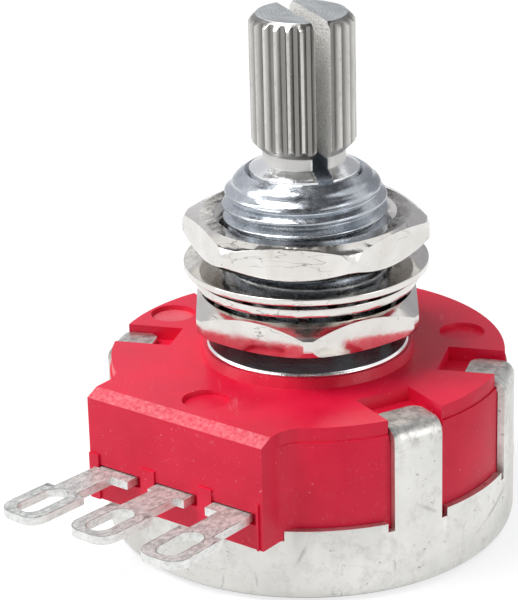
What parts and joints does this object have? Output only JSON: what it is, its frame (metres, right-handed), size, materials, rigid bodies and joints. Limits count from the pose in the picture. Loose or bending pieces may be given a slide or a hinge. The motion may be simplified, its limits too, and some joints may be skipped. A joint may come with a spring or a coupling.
{
  "type": "rotary potentiometer",
  "caption": "Panel-mount rotary potentiometer with a moulded housing folded into a metal can, split splined shaft, threaded bushing, nuts and slotted solder lugs",
  "frame": {"origin": "On the shaft axis, in the plane of the can's flat back", "axes": "+Z along the shaft toward its splined end, -Y toward the solder lugs, X along the row of lugs"},
  "size_m": [0.0242, 0.0317, 0.0308],
  "materials": {
    "tinned_can": "tin-plated steel, satin",
    "red_plastic": "glass-filled thermoplastic, semi-gloss red",
    "zinc_bushing": "zinc-plated, bluish",
    "nickel": "bright nickel plate",
    "shaft_metal": "satin nickel plate",
    "spring_steel": "oiled spring steel",
    "brass_washer": "plain",
    "ivory_plastic": "natural polyacetal",
    "spring_bronze": "phosphor bronze sheet",
    "phenolic": "paper-phenolic board",
    "carbon": "printed carbon",
    "silver_ink": "printed silver",
    "tinned_lug": "tin-plated brass, matt"
  },
  "bodies": {
    "frame": {"metal_can": "tinned_can", "housing": "red_plastic", "threaded_bushing": "zinc_bushing", "lower_nut": "nickel", "lock_washer": "nickel", "flat_washer": "nickel", "upper_nut": "nickel", "element_board": "phenolic", "resistive_track": "carbon", "track_end_pads": "silver_ink", "collector_ring": "silver_ink", "terminal_left": "tinned_lug", "terminal_middle": "tinned_lug", "terminal_right": "tinned_lug", "terminal_rivets": "brass_washer"},
    "shaft": {"splined_shaft": "shaft_metal", "retaining_ring": "spring_steel", "thrust_washer": "brass_washer", "rotor": "ivory_plastic", "wiper": "spring_bronze"}
  },
  "joints": [
    {"name": "shaft_turn", "type": "hinge", "parent": "frame", "child": "shaft", "pos_m": [0, 0, 0.015], "axis": [0, 0, 1], "range_deg": [-150, 150]}
  ]
}
